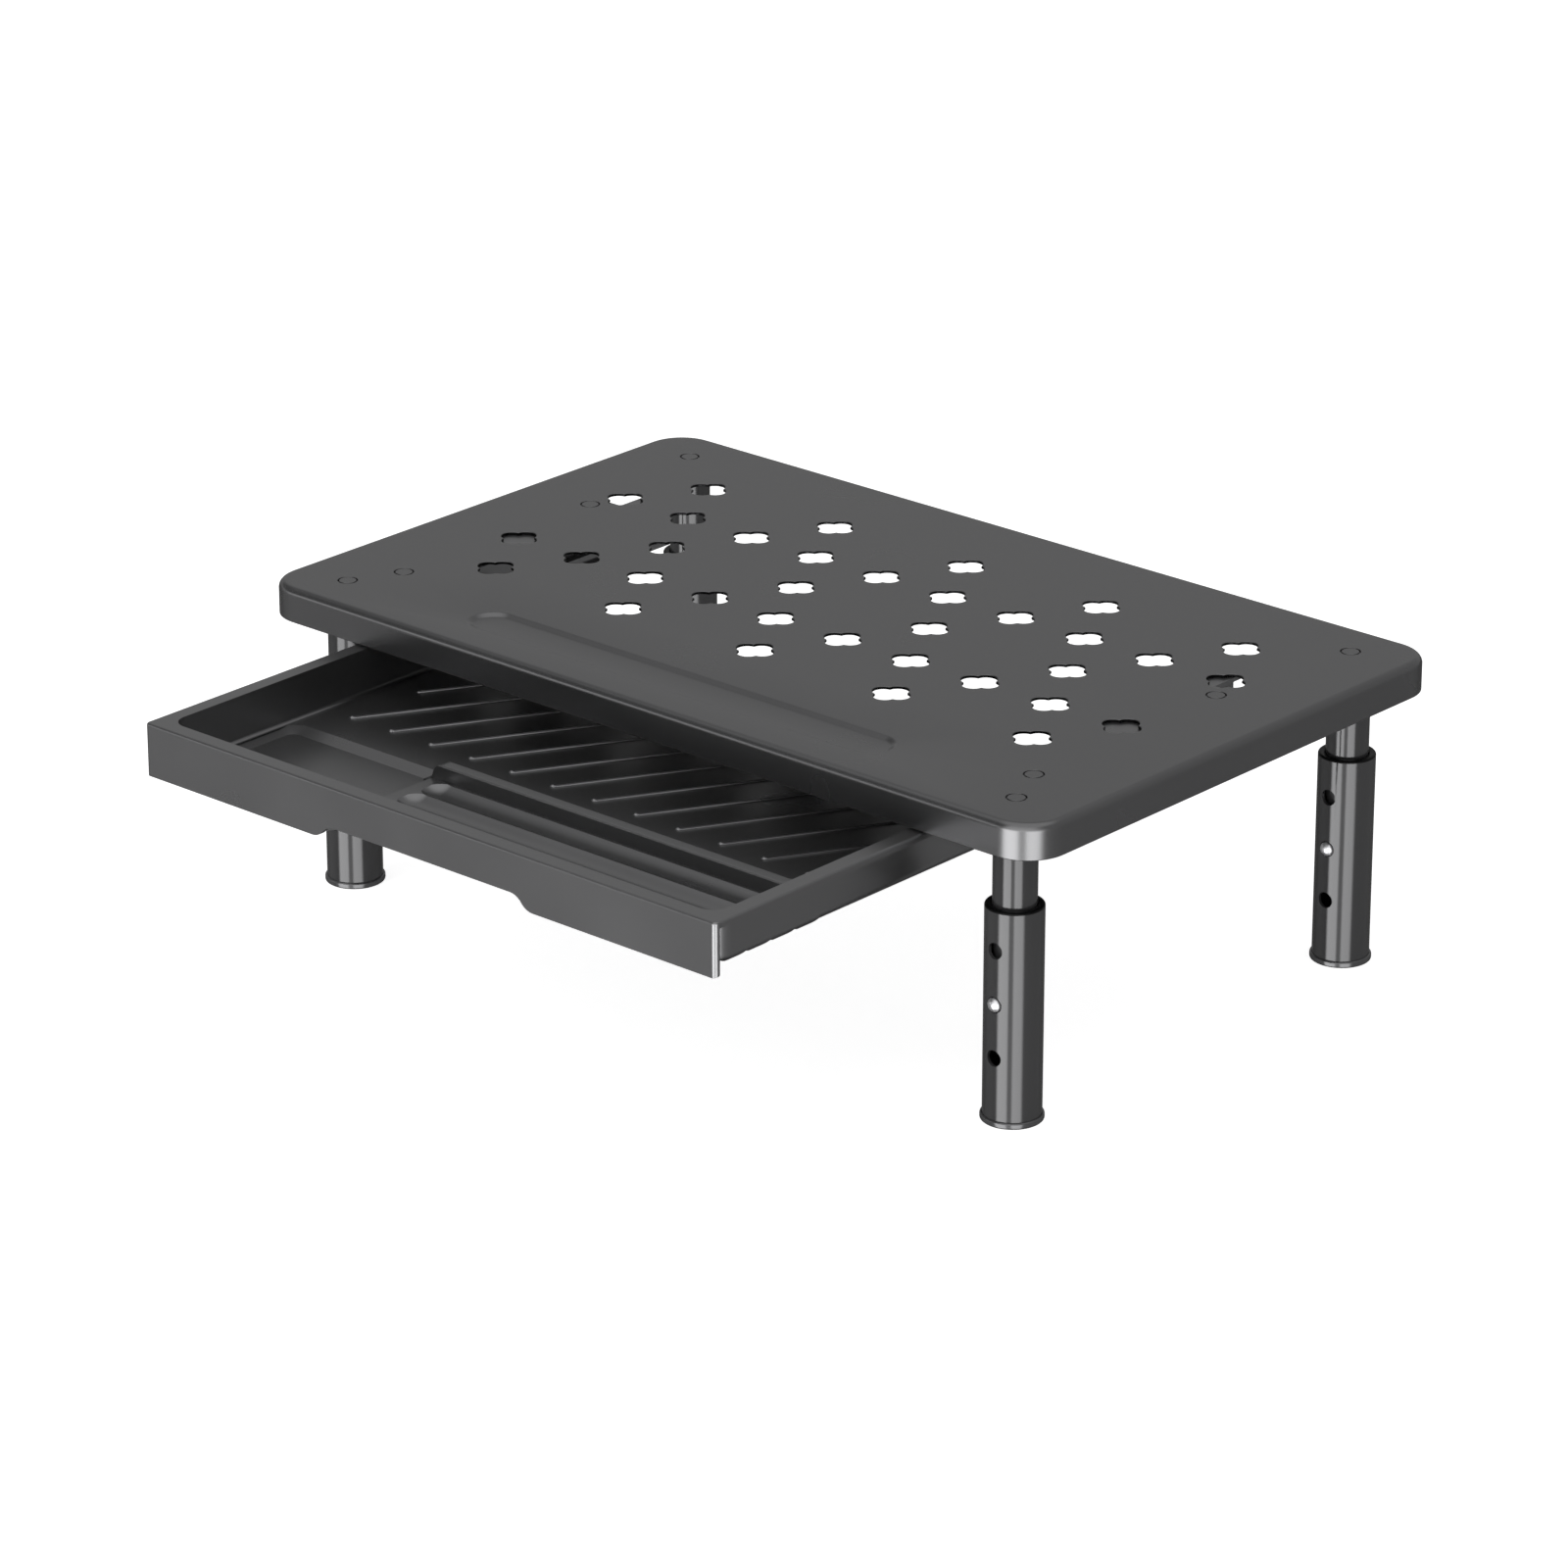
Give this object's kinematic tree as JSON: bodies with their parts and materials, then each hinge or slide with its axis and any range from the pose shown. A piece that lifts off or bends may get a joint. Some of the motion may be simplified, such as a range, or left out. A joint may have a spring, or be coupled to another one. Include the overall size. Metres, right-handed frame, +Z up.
{
  "type": "laptop stand with drawer",
  "caption": "Low desk riser for a laptop or monitor: a vented steel platform on legs that lock at several heights, with a shallow moulded drawer on rails below.",
  "frame": {"origin": "on the desk surface, under the middle of the platform and midway between the four feet, with the legs in their middle holes", "axes": "+X to the right along the platform's long side, -Y towards the front where the drawer opens, +Z up out of the platform's top face"},
  "size_m": [0.37, 0.3325, 0.119],
  "materials": {
    "sheet_steel_painted": "fine matt grey powder coat on pressed steel sheet",
    "tube_steel_painted": "satin dark grey powder coat on steel tube",
    "moulded_abs": "injection moulded ABS, satin, dark grey",
    "black_nylon": "moulded black nylon",
    "foot_plastic": "semi gloss dark grey moulded cap",
    "spring_steel": "nickel plated spring steel",
    "plated_steel": "zinc plated steel"
  },
  "bodies": {
    "platform": {"deck": "sheet_steel_painted", "rail_left": "moulded_abs", "rail_right": "moulded_abs", "leg_studs": "plated_steel", "rail_studs": "plated_steel", "rail_nuts": "plated_steel", "upper_tube_front_left": "tube_steel_painted", "upper_tube_front_right": "tube_steel_painted", "upper_tube_back_left": "tube_steel_painted", "upper_tube_back_right": "tube_steel_painted", "leg_plug_front_left": "black_nylon", "leg_plug_front_right": "black_nylon", "leg_plug_back_left": "black_nylon", "leg_plug_back_right": "black_nylon"},
    "leg_front_left": {"lower_tube_front_left": "tube_steel_painted", "guide_bush_front_left": "black_nylon", "foot_cap_front_left": "foot_plastic"},
    "button_front_left": {"button_clip_front_left": "spring_steel"},
    "leg_front_right": {"lower_tube_front_right": "tube_steel_painted", "guide_bush_front_right": "black_nylon", "foot_cap_front_right": "foot_plastic"},
    "button_front_right": {"button_clip_front_right": "spring_steel"},
    "leg_back_left": {"lower_tube_back_left": "tube_steel_painted", "guide_bush_back_left": "black_nylon", "foot_cap_back_left": "foot_plastic"},
    "button_back_left": {"button_clip_back_left": "spring_steel"},
    "leg_back_right": {"lower_tube_back_right": "tube_steel_painted", "guide_bush_back_right": "black_nylon", "foot_cap_back_right": "foot_plastic"},
    "button_back_right": {"button_clip_back_right": "spring_steel"},
    "drawer": {"drawer": "moulded_abs"}
  },
  "joints": [
    {"name": "drawer_slide", "type": "slide", "parent": "platform", "child": "drawer", "axis": [0, -1, 0], "range_m": [-0.104, 0]},
    {"name": "leg_height_front_left", "type": "slide", "parent": "platform", "child": "leg_front_left", "axis": [0, 0, 1], "range_m": [-0.02, 0.02], "deforming": ["button_clip_front_left"]},
    {"name": "button_press_front_left", "type": "slide", "parent": "platform", "child": "button_front_left", "axis": [0, 1, 0], "range_m": [0, 0.0032], "stiffness_N_per_m": 2000, "springref_m": -0.001, "deforming": ["button_clip_front_left"]},
    {"name": "leg_height_front_right", "type": "slide", "parent": "platform", "child": "leg_front_right", "axis": [0, 0, 1], "range_m": [-0.02, 0.02], "deforming": ["button_clip_front_right"]},
    {"name": "button_press_front_right", "type": "slide", "parent": "platform", "child": "button_front_right", "axis": [0, 1, 0], "range_m": [0, 0.0032], "stiffness_N_per_m": 2000, "springref_m": -0.001, "deforming": ["button_clip_front_right"]},
    {"name": "leg_height_back_left", "type": "slide", "parent": "platform", "child": "leg_back_left", "axis": [0, 0, 1], "range_m": [-0.02, 0.02], "deforming": ["button_clip_back_left"]},
    {"name": "button_press_back_left", "type": "slide", "parent": "platform", "child": "button_back_left", "axis": [0, 1, 0], "range_m": [0, 0.0032], "stiffness_N_per_m": 2000, "springref_m": -0.001, "deforming": ["button_clip_back_left"]},
    {"name": "leg_height_back_right", "type": "slide", "parent": "platform", "child": "leg_back_right", "axis": [0, 0, 1], "range_m": [-0.02, 0.02], "deforming": ["button_clip_back_right"]},
    {"name": "button_press_back_right", "type": "slide", "parent": "platform", "child": "button_back_right", "axis": [0, 1, 0], "range_m": [0, 0.0032], "stiffness_N_per_m": 2000, "springref_m": -0.001, "deforming": ["button_clip_back_right"]}
  ]
}
